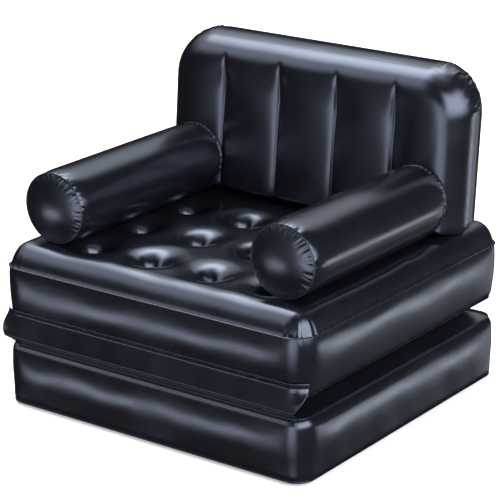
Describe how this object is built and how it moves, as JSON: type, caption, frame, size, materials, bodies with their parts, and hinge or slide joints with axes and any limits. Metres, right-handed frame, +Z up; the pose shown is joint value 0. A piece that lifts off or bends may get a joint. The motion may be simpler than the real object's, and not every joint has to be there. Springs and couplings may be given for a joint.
{
  "type": "inflatable chair",
  "caption": "Inflatable armchair with channelled backrest, round arms and dimpled seat, whose base mattress folds out into a single bed.",
  "frame": {"origin": "centre of the footprint on the floor", "axes": "+Z up; -Y is the front, where the hinge web is; +X is the right side seen from the front"},
  "size_m": [0.97, 0.975, 0.886],
  "materials": {
    "outer_film": "glossy black soft PVC film",
    "inner_film": "plain black soft PVC film, inside the air chambers",
    "valve_plastic": "moulded black soft plastic"
  },
  "bodies": {
    "chair": {"seat_top_sheet": "outer_film", "seat_side_band": "outer_film", "seat_bottom_sheet": "outer_film", "seat_coil_beam_1_1": "inner_film", "seat_coil_beam_1_2": "inner_film", "seat_coil_beam_1_3": "inner_film", "seat_coil_beam_1_4": "inner_film", "seat_coil_beam_2_1": "inner_film", "seat_coil_beam_2_2": "inner_film", "seat_coil_beam_2_3": "inner_film", "seat_coil_beam_2_4": "inner_film", "seat_coil_beam_3_1": "inner_film", "seat_coil_beam_3_2": "inner_film", "seat_coil_beam_3_3": "inner_film", "seat_coil_beam_3_4": "inner_film", "backrest_front_sheet": "outer_film", "backrest_gusset": "outer_film", "backrest_back_sheet": "outer_film", "backrest_web_1": "inner_film", "backrest_web_2": "inner_film", "backrest_web_3": "inner_film", "backrest_web_4": "inner_film", "arm_skin_left": "outer_film", "arm_front_disc_left": "outer_film", "arm_rear_disc_left": "outer_film", "arm_skin_right": "outer_film", "arm_front_disc_right": "outer_film", "arm_rear_disc_right": "outer_film", "hinge_web": "outer_film", "seat_valve_body": "valve_plastic"},
    "base_mattress": {"base_top_sheet": "outer_film", "base_side_band": "outer_film", "base_bottom_sheet": "outer_film", "base_coil_beam_1_1": "inner_film", "base_coil_beam_1_2": "inner_film", "base_coil_beam_1_3": "inner_film", "base_coil_beam_1_4": "inner_film", "base_coil_beam_2_1": "inner_film", "base_coil_beam_2_2": "inner_film", "base_coil_beam_2_3": "inner_film", "base_coil_beam_2_4": "inner_film", "base_coil_beam_3_1": "inner_film", "base_coil_beam_3_2": "inner_film", "base_coil_beam_3_3": "inner_film", "base_coil_beam_3_4": "inner_film", "base_coil_beam_4_1": "inner_film", "base_coil_beam_4_2": "inner_film", "base_coil_beam_4_3": "inner_film", "base_coil_beam_4_4": "inner_film", "base_valve_body": "valve_plastic"},
    "seat_valve_cap": {"seat_valve_cap": "valve_plastic"},
    "seat_valve_flap": {"seat_valve_flap": "valve_plastic"},
    "base_valve_cap": {"base_valve_cap": "valve_plastic"},
    "base_valve_flap": {"base_valve_flap": "valve_plastic"}
  },
  "joints": [
    {"name": "base_fold_out", "type": "hinge", "parent": "chair", "child": "base_mattress", "pos_m": [0, -0.4785, 0.2], "axis": [-1, 0, 0], "range_deg": [0, 180], "deforming": ["hinge_web"]},
    {"name": "seat_cap_flip", "type": "hinge", "parent": "chair", "child": "seat_valve_cap", "pos_m": [0.3, 0.4863, 0.3265], "axis": [1, 0, 0], "range_deg": [0, 150]},
    {"name": "seat_flap_swing", "type": "hinge", "parent": "chair", "child": "seat_valve_flap", "pos_m": [0.3, 0.467, 0.3132], "axis": [-1, 0, 0], "range_deg": [0, 35]},
    {"name": "base_cap_flip", "type": "hinge", "parent": "base_mattress", "child": "base_valve_cap", "pos_m": [0.3, 0.4863, 0.1265], "axis": [1, 0, 0], "range_deg": [0, 150]},
    {"name": "base_flap_swing", "type": "hinge", "parent": "base_mattress", "child": "base_valve_flap", "pos_m": [0.3, 0.467, 0.1132], "axis": [-1, 0, 0], "range_deg": [0, 35]}
  ]
}
